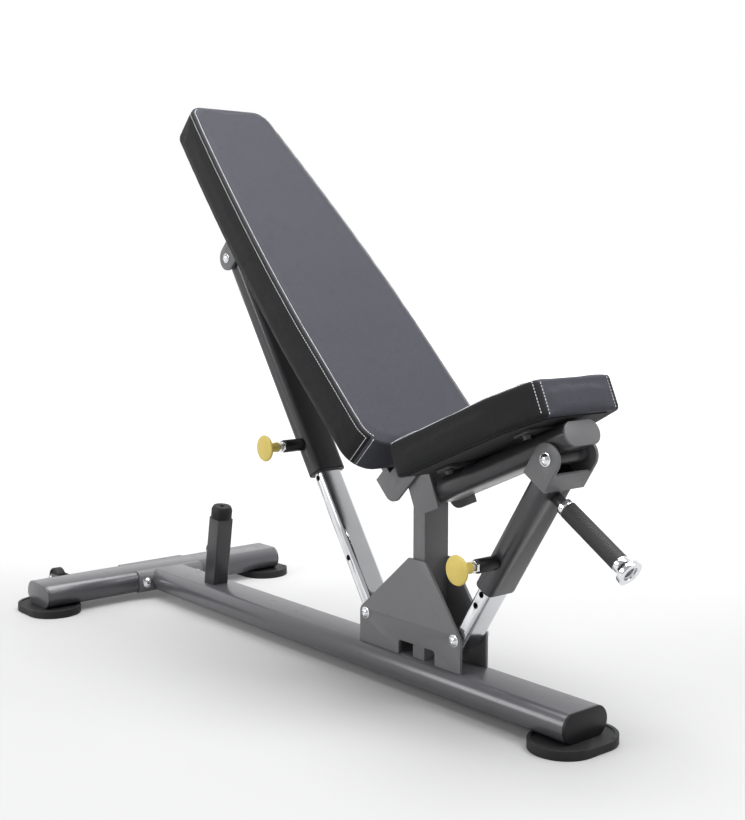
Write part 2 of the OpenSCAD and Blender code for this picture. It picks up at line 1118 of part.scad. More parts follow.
// plastic liner that guides the inner tube in the mouth of the outer tube
module guide_bush(z0, pin_z) {
    length = pin_z - z0 + 30;
    color(black)
        difference() {
            translate([0, 0, z0]) {
                linear_extrude(length)
                    difference() {
                        outer_section(outer_wall);
                        inner_section(-slide_gap);
                    }
                translate([0, 0, -2])
                    linear_extrude(2)
                        difference() {
                            outer_section(0.5);
                            inner_section(-slide_gap);
                        }
            }
            translate([0, 0, pin_z])
                cross_bar(pin_r + 0.5, -outer_w, 0);
        }
}

module inner_tube(length, holes) {
    color(chrome)
        difference() {
            translate([0, 0, -14])
                linear_extrude(length + 14)
                    difference() {
                        inner_section();
                        inner_section(inner_wall);
                    }
            cross_bar(bolt_r + running, -outer_w, outer_w);
            for (z = holes)
                translate([0, 0, z])
                    cross_bar(lock_hole_r, -outer_w, 0);
        }
}

module back_inner_tube() {
    on_back_strut()
        inner_tube(back_inner_len, [for (a = back_steps) strut_at(a) - back_pin_drop]);
}

back_rim = back_strut_len - back_outer_len;
back_ear_half = seat_plate_y - 0.6;
module back_outer_tube() {
    top = back_strut_len;
    color(paint)
        on_back_strut()
            difference() {
                union() {
                    outer_tube(back_rim, top - 8, back_pin_at);
                    translate([0, 0, top])
                        cross_bar(17, -back_ear_half, back_ear_half);
                }
                translate([0, 0, top])
                    cross_bar(bolt_r + running, -60, 60);
            }
}

module back_guide_bush() {
    on_back_strut()
        guide_bush(back_rim, back_pin_at);
}

// middle of the upper bolt, in line with the heads in the lugs
module back_top_pin() {
    color(steel)
        on_back_strut()
            translate([0, 0, back_strut_len])
                cross_bar(bolt_r, -back_ear_half, back_ear_half);
}

module seat_inner_tube() {
    on_seat_strut()
        inner_tube(seat_inner_len, [for (k = [0:4]) seat_pin_at - k * seat_hole_pitch]);
}

seat_rim = seat_strut_len - seat_outer_len;
module seat_outer_tube() {
    color(paint)
        on_seat_strut()
            difference() {
                outer_tube(seat_rim, seat_strut_len - seat_outer_top, seat_pin_at);
                translate([0, 0, seat_strut_len - handle_drop])
                    rotate([0, 90, 0])
                        cylinder(r = bar_r, h = 60);
            }
}

module seat_guide_bush() {
    on_seat_strut()
        guide_bush(seat_rim, seat_pin_at);
}

// U bracket around the top of the outer tube; its ears straddle the seat tube
clevis_low = 47;
clevis_back_t = 6;
filler_w = 24;
filler_h = 14;
module seat_clevis() {
    color(plate_paint)
        on_seat_strut()
            translate([0, 0, seat_strut_len]) {
                both_sides()
                    difference() {
                        side_plate(clevis_y, plate_t)
                            union() {
                                circle(r = clevis_r);
                                translate([-clevis_r, -clevis_low])
                                    square([2 * clevis_r, clevis_low]);
                            }
                        cross_bar(bolt_r + running, 0, 60);
                    }
                translate([clevis_r - clevis_back_t, -clevis_y, -clevis_low])
                    cube([clevis_back_t, 2 * clevis_y, clevis_low - 13]);
                // fillers between the ears and the tube
                both_sides()
                    difference() {
                        translate([-filler_w / 2, outer_w / 2, -clevis_low + 2])
                            cube([filler_w, clevis_y - outer_w / 2, filler_h]);
                        translate([0, 0, -clevis_low])
                            linear_extrude(40)
                                outer_section();
                    }
            }
}

module seat_clevis_bolt() {
    color(chrome)
        on_seat_strut()
            translate([0, 0, seat_strut_len])
                strut_bolt(clevis_y + plate_t);
}

// ---- spring pins ----

module at_spring_pin(which) {
    if (which == "seat")
        on_seat_strut()
            translate([0, 0, seat_pin_at])
                children();
    else
        on_back_strut()
            translate([0, 0, back_pin_at])
                children();
}

housing_end = outer_w / 2 + housing_len;
nut_len = 7;
collar_y = outer_w / 2 + 1;
pin_travel = 12;
module pin_housing(which) {
    color(black)
        at_spring_pin(which)
            difference() {
                cross_bar(housing_r, -housing_end, -outer_w / 2);
                cross_bar(housing_r - housing_wall, -housing_end + 4, -outer_w / 2 + 1);
                cross_bar(6.5, -housing_end - 1, -outer_w / 2);
            }
}

module pin_nut(which) {
    color(chrome)
        at_spring_pin(which)
            difference() {
                translate([0, -housing_end - nut_len, 0])
                    hex_head(11, nut_len);
                cross_bar(pin_r + running, -housing_end - 20, 0);
            }
}

// the nose stops just short of the inner tube so that the strut can slide
module pin_plunger(which) {
    nose = -inner_w / 2 - slide_gap - 0.3;
    color(steel)
        at_spring_pin(which) {
            cross_bar(pin_r, -knob_out + 20, nose);
            cross_bar(7.5, -collar_y - 4, -collar_y);
        }
}

// the coil spring's outer shape, shortened to leave room for the collar's travel
module pin_spring(which) {
    color(steel)
        at_spring_pin(which)
            difference() {
                cross_bar(7.8, -housing_end + 4.5, -collar_y - 4.5 - pin_travel);
                cross_bar(pin_r + 0.4, -housing_end, 0);
            }
}

module pin_knob(which) {
    color(knob_yellow)
        at_spring_pin(which)
            rotate([90, 0, 0])
                rotate_extrude()
                    polygon([
                        [0, knob_out], [knob_r - 4, knob_out], [knob_r - 1, knob_out - 1],
                        [knob_r, knob_out - 3], [knob_r - 1, knob_out - 5],
                        [knob_r - 6, knob_out - 7], [11, knob_out - 11],
                        [8.5, knob_out - 18], [9.5, knob_out - 32], [pin_r, knob_out - 32],
                        [pin_r, knob_out - 20], [0, knob_out - 20]]);
}

module back_pin_housing() pin_housing("back");
module back_pin_nut() pin_nut("back");
module back_pin_plunger() pin_plunger("back");
module back_pin_spring() pin_spring("back");
module back_pin_knob() pin_knob("back");
module seat_pin_housing() pin_housing("seat");
module seat_pin_nut() pin_nut("seat");
module seat_pin_plunger() pin_plunger("seat");
module seat_pin_spring() pin_spring("seat");
module seat_pin_knob() pin_knob("seat");

// ---- lifting handle ----

bar_r = 10;
bar_root = outer_d / 2 - 3;
grip_z0 = 50;
grip_z1 = handle_reach - 26;
collar_r = 14.5;
module on_handle() {
    on_seat_strut()
        translate([0, 0, seat_strut_len - handle_drop])
            rotate([0, 90, 0])
                children();
}

module handle_bar() {
    color(paint)
        on_handle()
            translate([0, 0, bar_root])
                cylinder(r = bar_r, h = handle_reach - 4 - bar_root);
}

module handle_grip() {
    color(black)
        on_handle()
            translate([0, 0, grip_z0])
                difference() {
                    cylinder(r = grip_d / 2, h = grip_z1 - grip_z0);
                    translate([0, 0, -1])
                        cylinder(r = bar_r, h = grip_z1 - grip_z0 + 2);
                }
}

// a collar at each end of the grip and the flange on the bar's end
module handle_collars() {
    color(chrome)
        on_handle()
            difference() {
                union() {
                    for (span = [[grip_z0 - 10, grip_z0], [grip_z1, grip_z1 + 10]])
                        translate([0, 0, span[0]])
                            cylinder(r = collar_r, h = span[1] - span[0]);
                    translate([0, 0, handle_reach - 8])
                        cylinder(r = flange_r, h = 8);
                }
                cylinder(r = bar_r, h = handle_reach - 4);
                translate([0, 0, handle_reach - 4])
                    cylinder(r = 13, h = 5);
            }
}

main_beam();
beam_end_cap();
rear_crossbar();
crossbar_end_caps();
saddle_plates();
saddle_bolts();
rubber_feet();
foot_screws();
gusset_plates();
centre_post();
hinge_sleeve();
hinge_bushes();
hinge_pin();
hinge_nut();
bumper_post();
bumper_cap();
wheel_brackets();
wheel_axles();
left_wheel();
right_wheel();
lower_strut_bolts();
backrest_pad();
backrest_board();
backrest_tube();
backrest_tube_caps();
backrest_straps();
backrest_screws();
backrest_plates();
backrest_lugs();
backrest_lug_bolts();
seat_pad();
seat_board();
seat_tube();
seat_tube_caps();
seat_straps();
seat_screws();
seat_plates();
seat_strut_bush();
back_inner_tube();
back_outer_tube();
back_guide_bush();
back_top_pin();
back_pin_housing();
back_pin_nut();
back_pin_plunger();
back_pin_spring();
back_pin_knob();
seat_inner_tube();
seat_outer_tube();
seat_guide_bush();
seat_clevis();
seat_clevis_bolt();
seat_pin_housing();
seat_pin_nut();
seat_pin_plunger();
seat_pin_spring();
seat_pin_knob();
handle_bar();
handle_grip();
handle_collars();
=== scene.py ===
"""The looks of an adjustable weight bench: upholstery, powder coat, chrome, rubber and plastic."""
import json
import math
from collections import namedtuple

import bpy
import numpy as np
from mathutils import Matrix, Vector
from mathutils.bvhtree import BVHTree


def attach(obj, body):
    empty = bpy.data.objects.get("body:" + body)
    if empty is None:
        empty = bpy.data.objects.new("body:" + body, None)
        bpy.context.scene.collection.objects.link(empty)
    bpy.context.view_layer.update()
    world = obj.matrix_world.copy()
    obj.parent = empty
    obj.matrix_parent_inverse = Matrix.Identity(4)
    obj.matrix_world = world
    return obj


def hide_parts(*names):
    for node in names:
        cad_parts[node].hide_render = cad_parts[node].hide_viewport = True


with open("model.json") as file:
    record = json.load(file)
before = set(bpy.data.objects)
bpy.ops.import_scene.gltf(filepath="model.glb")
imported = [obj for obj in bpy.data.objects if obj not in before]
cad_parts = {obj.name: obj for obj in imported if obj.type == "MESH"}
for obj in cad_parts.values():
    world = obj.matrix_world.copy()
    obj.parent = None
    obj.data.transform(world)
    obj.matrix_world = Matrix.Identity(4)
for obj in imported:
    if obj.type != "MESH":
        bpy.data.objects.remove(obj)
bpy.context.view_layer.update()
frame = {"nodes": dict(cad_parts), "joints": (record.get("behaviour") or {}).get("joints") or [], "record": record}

MM = 0.001
SEAT_SLOPE = math.radians(23.5)
BACK_SLOPE = math.radians(44.5)
STRUT_LEAN = math.radians(32.437)
BACKDROP_WAY = (-0.77, 0.64, 0.0)


# ---- node materials ----


class Wire:
    """A value on its way through a material; arithmetic on it adds Math nodes."""

    def __init__(self, finish, socket):
        self.finish = finish
        self.socket = socket

    def _math(self, operation, *terms):
        return self.finish.node("ShaderNodeMath", {"operation": operation}, dict(enumerate(terms)))

    def __add__(self, other):
        return self._math("ADD", self, other)

    def __radd__(self, other):
        return self._math("ADD", other, self)

    def __sub__(self, other):
        return self._math("SUBTRACT", self, other)

    def __rsub__(self, other):
        return self._math("SUBTRACT", other, self)

    def __mul__(self, other):
        return self._math("MULTIPLY", self, other)

    def __rmul__(self, other):
        return self._math("MULTIPLY", other, self)

    def above(self, edge, soft):
        """0 below edge, 1 above edge + soft, and a smooth step between."""
        settings = {"interpolation_type": "SMOOTHSTEP"}
        return self.finish.node("ShaderNodeMapRange", settings, {0: self, 1: edge, 2: edge + soft})


class Finish:
    """One material under construction."""

    def __init__(self, name):
        self.material = bpy.data.materials.new(name)
        self.material.use_nodes = True
        self.tree = self.material.node_tree
        self.shader = self.tree.nodes["Principled BSDF"]
        self.place = self.node("ShaderNodeTexCoord", output="Object")

    def node(self, kind, settings=None, sockets=None, output=0):
        made = self.tree.nodes.new(kind)
        for key, value in (settings or {}).items():
            setattr(made, key, value)
        for key, value in (sockets or {}).items():
            self.feed(made.inputs[key], value)
        return Wire(self, made.outputs[output])

    def feed(self, socket, value):
        if isinstance(value, Wire):
            self.tree.links.new(value.socket, socket)
        else:
            socket.default_value = value

    def noise(self, scale, detail=3.0, roughness=0.55, stretch=None):
        place = self.place
        if stretch:
            place = self.node("ShaderNodeMapping", {}, {"Vector": place, "Scale": stretch})
        sockets = {"Vector": place, "Scale": scale, "Detail": detail, "Roughness": roughness}
        return self.node("ShaderNodeTexNoise", {}, sockets, output="Fac")

    def cells(self, scale, feature="DISTANCE_TO_EDGE"):
        sockets = {"Vector": self.place, "Scale": scale}
        return self.node("ShaderNodeTexVoronoi", {"feature": feature}, sockets, output="Distance")

    def mix(self, factor, first, second):
        sockets = {0: factor, 6: colour(first), 7: colour(second)}
        return self.node("ShaderNodeMix", {"data_type": "RGBA"}, sockets, output=2)

    def bump(self, height, distance, strength, under=None):
        sockets = {"Height": height, "Distance": distance, "Strength": strength}
        if under:
            sockets["Normal"] = under
        return self.node("ShaderNodeBump", {}, sockets)

    def surface(self, **sockets):
        for key, value in sockets.items():
            self.feed(self.shader.inputs[key.replace("_", " ")], value)
        return self.material


def colour(value):
    return value if isinstance(value, Wire) else (*value, 1.0)


def tinted(base, factor):
    return tuple(channel * factor for channel in base)


def powder_coat(name, base, rough, coat):
    """Baked metallic paint: drifting tone, fine flake, orange peel, and a few rubbed spots."""
    made = Finish(name)
    drift = made.noise(5.0, 4.0)
    flake = made.cells(2600.0, "F1").above(0.25, 0.5)
    grime = made.noise(38.0, 6.0, 0.7).above(0.56, 0.14)
    scuff = made.noise(90.0, 5.0, 0.8, stretch=(1.0, 0.25, 1.0)).above(0.7, 0.05)
    tone = made.mix(drift, tinted(base, 0.86), tinted(base, 1.16))
    tone = made.mix(flake * 0.35, tinted(base, 1.5), tone)
    tone = made.mix(grime * 0.2, tone, tinted(base, 0.75))
    tone = made.mix(scuff * 0.25, tone, tinted(base, 1.8))
    peel = made.noise(420.0, 2.0, 0.5)
    relief = made.bump(peel, 0.0003, 0.22)
    relief = made.bump(made.noise(60.0, 3.0), 0.0006, 0.12, relief)
    return made.surface(
        Base_Color=tone,
        Roughness=rough + drift * 0.08 + grime * 0.12 + scuff * 0.1,
        Metallic=0.1,
        Specular_IOR_Level=0.4,
        Coat_Weight=coat,
        Coat_Roughness=0.2,
        Normal=relief,
    )


def chrome(name, stretch):
    """Plated steel with hairline rubbing along the way it slides."""
    made = Finish(name)
    hair = made.noise(260.0, 4.0, 0.7, stretch=stretch)
    haze = made.noise(22.0, 5.0, 0.65)
    fleck = made.noise(310.0, 2.0, 0.5).above(0.72, 0.06)
    tone = made.mix(haze, (0.74, 0.75, 0.77), (0.86, 0.87, 0.89))
    tone = made.mix(fleck * 0.3, tone, (0.45, 0.43, 0.41))
    return made.surface(
        Base_Color=tone,
        Metallic=1.0,
        Roughness=0.07 + hair * 0.09 + haze.above(0.5, 0.3) * 0.07,
        Normal=made.bump(hair, 0.0002, 0.12),
    )


def zinc_steel():
    made = Finish("zinc_steel")
    bloom = made.cells(180.0, "F1")
    haze = made.noise(60.0, 5.0, 0.7)
    tone = made.mix(haze, (0.42, 0.43, 0.45), (0.62, 0.63, 0.64))
    return made.surface(
        Base_Color=made.mix(bloom * 0.4, tone, (0.5, 0.49, 0.46)),
        Metallic=0.95,
        Roughness=0.28 + haze * 0.18,
        Normal=made.bump(haze, 0.0003, 0.2),
    )


def moulded_rubber():
    """Black rubber with a stone-like skin and a little dust in it."""
    made = Finish("moulded_rubber")
    skin = made.noise(900.0, 3.0, 0.6)
    dust = made.noise(28.0, 6.0, 0.7).above(0.5, 0.3)
    tone = made.mix(dust * 0.4, (0.01, 0.01, 0.011), (0.035, 0.034, 0.033))
    relief = made.bump(skin, 0.0004, 0.6)
    return made.surface(
        Base_Color=made.mix(skin * 0.2, tone, (0.02, 0.02, 0.021)),
        Roughness=0.6 + dust * 0.2 - skin * 0.1,
        Specular_IOR_Level=0.25,
        Normal=made.bump(made.noise(70.0, 4.0), 0.0008, 0.25, relief),
    )


def grip_rubber(axis, pitch):
    """Soft black rubber with moulded rings round the grip, a pitch apart along its axis, and painted shade
    darkening the grooves between them.
    """
    made = Finish("grip_rubber")
    sockets = {0: made.place, 1: axis}
    along = made.node("ShaderNodeVectorMath", {"operation": "DOT_PRODUCT"}, sockets, output="Value")
    ring = made.node("ShaderNodeMath", {"operation": "PINGPONG"}, {0: along, 1: pitch / 2}) * (2 / pitch)
    # mask of the grooves between the rings, which the colour below darkens as painted shade
    groove_painted_shade = 1.0 - ring.above(0.15, 0.35)
    skin = made.noise(1100.0, 3.0, 0.6)
    # painted shade: the rubber is coloured darker in the grooves, where shade would fall
    tone = made.mix(groove_painted_shade, (0.02, 0.02, 0.021), (0.008, 0.008, 0.009))
    relief = made.bump(ring.above(0.1, 0.5), 0.0009, 0.8)
    return made.surface(
        Base_Color=made.mix(skin * 0.3, tone, (0.03, 0.03, 0.031)),
        Roughness=0.55 + skin * 0.12 + groove_painted_shade * 0.15,
        Normal=made.bump(skin, 0.0003, 0.4, relief),
    )


def moulded_plastic(name, base, rough):
    """Injection moulded plastic with a fine spark-eroded grain."""
    made = Finish(name)
    grain = made.cells(1500.0, "F1")
    sink = made.noise(16.0, 3.0)
    wear = made.noise(140.0, 5.0, 0.75).above(0.66, 0.08)
    tone = made.mix(sink, tinted(base, 0.88), tinted(base, 1.1))
    return made.surface(
        Base_Color=made.mix(wear * 0.3, tone, tinted(base, 1.25)),
        Roughness=rough + sink * 0.1 + wear * 0.12,
        Specular_IOR_Level=0.3,
        Normal=made.bump(grain, 0.0003, 0.3),
    )


def dust_cloth():
    """Black woven cloth stapled over the plywood boards."""
    made = Finish("dust_cloth")
    warp = made.noise(950.0, 1.0, 0.4, stretch=(1.0, 0.15, 1.0))
    weft = made.noise(950.0, 1.0, 0.4, stretch=(0.15, 1.0, 1.0))
    weave = warp * weft
    lint = made.noise(45.0, 6.0, 0.7).above(0.58, 0.2)
    tone = made.mix(weave, (0.008, 0.008, 0.009), (0.03, 0.03, 0.031))
    return made.surface(
        Base_Color=made.mix(lint * 0.3, tone, (0.05, 0.05, 0.05)),
        Roughness=0.8 + lint * 0.1,
        Normal=made.bump(weave, 0.0006, 0.5),
    )


def upholstery():
    """Grained synthetic leather: grey centre panel and black side panels, met at the seam."""
    made = Finish("upholstery")
    seam = made.node("ShaderNodeAttribute", {"attribute_name": "seam"}, output="Fac")
    side = 1.0 - seam.above(-0.0002, 0.0004)
    pebble = made.cells(620.0)
    crease = made.noise(130.0, 5.0, 0.65)
    cloud = made.noise(7.0, 4.0, 0.6)
    rub = made.noise(26.0, 5.0, 0.6).above(0.52, 0.25)
    grey = made.mix(cloud, (0.047, 0.048, 0.059), (0.056, 0.057, 0.069))
    grey = made.mix(pebble.above(0.0, 0.16), (0.031, 0.032, 0.039), grey)
    black = made.mix(cloud, (0.010, 0.010, 0.011), (0.015, 0.015, 0.016))
    relief = made.bump(pebble.above(0.0, 0.3), 0.0005, 0.5)
    relief = made.bump(crease, 0.0008, 0.25, relief)
    return made.surface(
        Base_Color=made.mix(side, grey, black),
        Roughness=0.44 + crease * 0.14 + rub * 0.1,
        Specular_IOR_Level=0.1,
        Normal=made.bump(made.noise(18.0, 3.0), 0.002, 0.25, relief),
    )


def thread():
    made = Finish("thread")
    twist = made.noise(1800.0, 2.0, 0.5)
    tone = made.mix(twist, (0.5, 0.5, 0.52), (0.8, 0.8, 0.82))
    return made.surface(
        Base_Color=tone,
        Roughness=0.6 + twist * 0.2,
        Normal=made.bump(twist, 0.0003, 0.5),
    )


def studio_floor():
    made = Finish("studio_floor")
    shade = made.noise(1.2, 3.0)
    sockets = {0: made.place, 1: BACKDROP_WAY}
    reach = made.node("ShaderNodeVectorMath", {"operation": "DOT_PRODUCT"}, sockets, output="Value")
    away = made.node("ShaderNodeVectorMath", {"operation": "LENGTH"}, {0: made.place}, output="Value")
    # painted light: the floor glows by itself, more towards the backdrop side and far from the bench, so it fades
    # into the bright room
    far = reach.above(-0.4, 2.8) * 0.55 + away.above(2.2, 5.0) * 0.45
    glow = made.mix(far, (0.0, 0.0, 0.0), (1.0, 1.0, 1.0))
    tone = made.mix(shade, (0.33, 0.33, 0.332), (0.35, 0.35, 0.351))
    return made.surface(
        Base_Color=tone,
        Roughness=0.6 + shade * 0.1,
        # painted light: the floor's own glow, which also lights the bench
        Emission_Color=glow,
        Emission_Strength=1.0,
    )


PAINT = powder_coat("frame_coat", (0.026, 0.026, 0.028), 0.28, 0.25)
BASE_COAT = powder_coat("base_coat", (0.05, 0.05, 0.055), 0.26, 0.35)
PLATE = powder_coat("plate_coat", (0.085, 0.085, 0.088), 0.42, 0.1)
FINISHES = {
    "frame_paint": PAINT,
    "plate_paint": PLATE,
    "chrome_steel": chrome("chrome_steel", (1.0, 14.0, 1.0)),
    "plain_steel": zinc_steel(),
    "black_rubber": moulded_rubber(),
    "black_plastic": moulded_plastic("black_plastic", (0.006, 0.006, 0.007), 0.34),
    "yellow_plastic": moulded_plastic("yellow_plastic", (0.52, 0.41, 0.1), 0.32),
    "upholstery": upholstery(),
    "black_backing": dust_cloth(),
}
# nodes whose coat differs from the rest of their slot
OWN_COAT = {
    "main_beam": BASE_COAT,
    "rear_crossbar": BASE_COAT,
    "crossbar_end_caps": BASE_COAT,
    "centre_post": PLATE,
}
THREAD = thread()
HANDLE_WAY = (math.cos(STRUT_LEAN), 0.0, -math.sin(STRUT_LEAN))
GRIP_RING_PITCH = 3.2 * MM
GRIP = grip_rubber(HANDLE_WAY, GRIP_RING_PITCH)
SLOT_OF = {part["node"]: part["material_slot"] for part in frame["record"]["subparts"]}
BODY_OF = {
    node: body
    for body, members in frame["record"]["behaviour"]["bodies"].items()
    for node in members
}


# ---- making pieces ----

WELD_DISTANCE = 0.01 * MM
FLAT_ANGLE = math.radians(0.4)
BREAK_ANGLE = math.radians(34)
SHADE_ANGLE = math.radians(33)


def take_up(piece):
    """Deselects everything else and makes piece the active object."""
    bpy.ops.object.select_all(action="DESELECT")
    bpy.context.view_layer.objects.active = piece
    piece.select_set(True)
    return piece


def apply_all(piece):
    take_up(piece)
    for modifier in list(piece.modifiers):
        bpy.ops.object.modifier_apply(modifier=modifier.name)


def copy_of(node, name):
    """The node's own shape as a new piece, its loose triangles welded."""
    piece = bpy.data.objects.new(name, frame["nodes"][node].data.copy())
    bpy.context.scene.collection.objects.link(piece)
    take_up(piece)
    bpy.ops.object.mode_set(mode="EDIT")
    bpy.ops.mesh.select_all(action="SELECT")
    bpy.ops.mesh.remove_doubles(threshold=WELD_DISTANCE)
    bpy.ops.mesh.dissolve_limited(angle_limit=FLAT_ANGLE)
    bpy.ops.object.mode_set(mode="OBJECT")
    return piece


def finish_of(node):
    return OWN_COAT.get(node, FINISHES[SLOT_OF[node]])


def dress(piece, node):
    """Gives the piece its finish and puts it in the node's place."""
    piece.data.materials.clear()
    piece.data.materials.append(finish_of(node))
    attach(piece, BODY_OF[node])
    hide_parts(node)
    return piece


def soften_edges(node, width):
    """The node with its hard edges broken, as cut, dressed and coated metal has."""
    piece = copy_of(node, node + "_finished")
    rounding = piece.modifiers.new("edges", "BEVEL")
    rounding.width = width
    rounding.segments = 2
    rounding.limit_method = "ANGLE"
    rounding.angle_limit = BREAK_ANGLE
    apply_all(piece)
    bpy.ops.object.shade_smooth_by_angle(angle=SHADE_ANGLE)
    return dress(piece, node)


# millimetres taken off the edges, and the nodes that get them
EDGES = {
    0.9: (
        "main_beam rear_crossbar saddle_plates gusset_plates centre_post bumper_post wheel_brackets "
        "backrest_plates backrest_lugs backrest_straps seat_plates seat_straps seat_clevis "
        "beam_end_cap crossbar_end_caps backrest_tube_caps seat_tube_caps rubber_feet bumper_cap "
        "left_wheel right_wheel back_outer_tube seat_outer_tube"
    ),
    0.5: (
        "backrest_tube seat_tube hinge_sleeve hinge_pin hinge_nut lower_strut_bolts saddle_bolts "
        "backrest_lug_bolts seat_clevis_bolt seat_strut_bush back_pin_housing seat_pin_housing "
        "back_pin_nut seat_pin_nut handle_collars wheel_axles back_inner_tube seat_inner_tube "
        "backrest_screws seat_screws back_pin_knob seat_pin_knob foot_screws handle_bar "
        "back_pin_plunger seat_pin_plunger back_top_pin back_guide_bush seat_guide_bush hinge_bushes"
    ),
}


def finish_hard_parts():
    for node in SLOT_OF:
        part = frame["nodes"][node]
        part.data.materials.clear()
        part.data.materials.append(finish_of(node))
    for width, names in EDGES.items():
        for node in names.split():
            soften_edges(node, width * MM)
    frame["nodes"]["handle_grip"].data.materials[0] = GRIP


# ---- the two cushions ----

VOXEL = 4.5 * MM
ROUNDING = 5 * MM
ROOM_TO_SWELL = 0.8 * MM
CLOTH_STEPS = 18
GROOVE_DEPTH = 1.3 * MM
GROOVE_WIDTH = 2.4 * MM
STITCH_PITCH = 4.4 * MM
STITCH_SIZE = (STITCH_PITCH * 0.9, 1.3 * MM, 1.0 * MM)
STITCH_LIFT = 0.25 * MM
RAY_START = 0.05
SIDE_RAYS = 40
FACE_RAYS = 600

# runs at the two ends, and how far in on the face and down the side the seam lies
Seam = namedtuple("Seam", "at_hinge at_far inset drop")
# a row with a drop lies on the side, and one without lies on the face at its inset
Row = namedtuple("Row", "inset drop at_hinge at_far")
HINGE = Vector(next(j["pos_m"] for j in frame["joints"] if j["name"] == "seat_hinge"))


def coordinates(mesh):
    points = np.empty(len(mesh.vertices) * 3)
    mesh.vertices.foreach_get("co", points)
    return points.reshape(-1, 3)


def set_coordinates(mesh, points):
    mesh.vertices.foreach_set("co", points.ravel())
    mesh.update()


def normals(mesh):
    found = np.empty(len(mesh.vertices) * 3)
    mesh.vertices.foreach_get("normal", found)
    return found.reshape(-1, 3)


class Pad:
    """One cushion in its own frame: t along it from the hinge end, y across, z out of its face.

    A place on its rim is a run: the way round it from the middle of the hinge end.
    """

    def __init__(self, name, node, slope, way, seam):
        self.place = Matrix.Translation(HINGE) @ Matrix.Rotation(slope, 4, "Y")
        self.way = way
        self.seam = seam
        self.piece = copy_of(node, name)
        self.piece.data.transform(self.place.inverted())
        points = coordinates(self.piece.data)
        self.low, self.high = points.min(0), points.max(0)
        self.start = (points[:, 0] * way).min()
        length = (points[:, 0] * way).max() - self.start
        face = points[(points[:, 2] > self.high[2] - MM) & (points[:, 1] > 0)]
        along = np.round(face[:, 0] * way - self.start, 4)
        sides = [(t, face[along == t, 1].max()) for t in np.unique(along)]
        self.rim = np.array([(0.0, 0.0), *sides, (length, 0.0)])
        steps = np.linalg.norm(np.diff(self.rim, axis=0), axis=1)
        self.runs = np.concatenate(([0.0], np.cumsum(steps)))

    def rim_point(self, run):
        return np.array([np.interp(run, self.runs, self.rim[:, k]) for k in (0, 1)])

    def rim_way_out(self, run):
        forward = self.rim_point(run + 2 * MM) - self.rim_point(run - 2 * MM)
        forward /= np.linalg.norm(forward)
        return np.array([-forward[1], forward[0]])

    def off_rim(self, points):
        """Each point's distance in from the rim, and the run of the nearest place on it."""
        flat = np.column_stack((points[:, 0] * self.way - self.start, np.abs(points[:, 1])))
        nearest = np.full(len(flat), np.inf)
        inward, runs = np.zeros(len(flat)), np.zeros(len(flat))
        for first, last, run in zip(self.rim, self.rim[1:], self.runs):
            length = np.linalg.norm(last - first)
            forward = (last - first) / length
            share = np.clip((flat - first) @ forward, 0.0, length)
            apart = flat - first - share[:, None] * forward
            distance = np.linalg.norm(apart, axis=1)
            side = apart @ np.array([forward[1], -forward[0]])
            closer = distance < nearest - 1e-9
            nearest[closer] = distance[closer]
            inward[closer] = (distance * np.where(side < 0, -1, 1))[closer]
            runs[closer] = (run + share)[closer]
        return inward, runs

    def off_seam(self, points):
        """Distance into the centre panel from the seam, below 0 on the side panels."""
        seam = self.seam
        inward, runs = self.off_rim(points)
        face = np.minimum(inward - seam.inset, points[:, 2] - self.high[2] + seam.drop)
        ends = np.maximum(seam.at_hinge - runs, runs - self.runs[-1] + seam.at_far)
        return np.maximum(face, ends)

    def shrink(self, margin):
        middle = Vector((self.low + self.high) / 2)
        size = self.high - self.low
        factors = [1 - 2 * margin / length for length in size]
        scaling = Matrix.Diagonal((*factors, 1.0))
        shrunk = Matrix.Translation(middle) @ scaling @ Matrix.Translation(-middle)
        self.piece.data.transform(shrunk)

    def remesh(self):
        rounding = self.piece.modifiers.new("rounding", "BEVEL")
        rounding.width = ROUNDING
        rounding.segments = 3
        rounding.limit_method = "ANGLE"
        rounding.angle_limit = math.radians(50)
        apply_all(self.piece)
        rounded = bpy.data.objects.new("rounded", self.piece.data.copy())
        bpy.context.scene.collection.objects.link(rounded)
        voxels = self.piece.modifiers.new("voxels", "REMESH")
        voxels.mode = "VOXEL"
        voxels.voxel_size = VOXEL
        settle = self.piece.modifiers.new("settle", "SHRINKWRAP")
        settle.target = rounded
        apply_all(self.piece)
        bpy.data.objects.remove(rounded)

    def held(self, points):
        """The underside and the board's pocket, which the cover can't lift from."""
        under_board = self.off_rim(points)[0] > 9 * MM
        pocket = under_board & (points[:, 2] < self.low[2] + 16 * MM)
        return pocket | (points[:, 2] < self.low[2] + 5 * MM)

    def inflate(self, cap):
        """The stuffing pushes the cover out by a cloth simulation, by no more than cap."""
        piece = self.piece
        before = coordinates(piece.data)
        group = piece.vertex_groups.new(name="held")
        group.add([int(i) for i in np.flatnonzero(self.held(before))], 1.0, "REPLACE")
        cloth = piece.modifiers.new("cloth", "CLOTH")
        settings = cloth.settings
        settings.quality = 4
        settings.mass = 0.3
        settings.tension_stiffness = 40.0
        settings.compression_stiffness = 40.0
        settings.shear_stiffness = 20.0
        settings.bending_stiffness = 2.0
        settings.use_pressure = True
        settings.uniform_pressure_force = 4.0
        settings.effector_weights.gravity = 0.0
        settings.vertex_group_mass = "held"
        cloth.point_cache.frame_start, cloth.point_cache.frame_end = 1, 20
        for step in range(1, CLOTH_STEPS + 1):
            bpy.context.scene.frame_set(step)
        settled = piece.evaluated_get(bpy.context.evaluated_depsgraph_get())
        after = coordinates(settled.data)
        piece.modifiers.remove(cloth)
        bpy.context.scene.frame_set(1)
        out = normals(piece.data)
        swell = np.sum((after - before) * out, axis=1, keepdims=True)
        set_coordinates(piece.data, before + out * np.clip(swell, 0.0, cap))

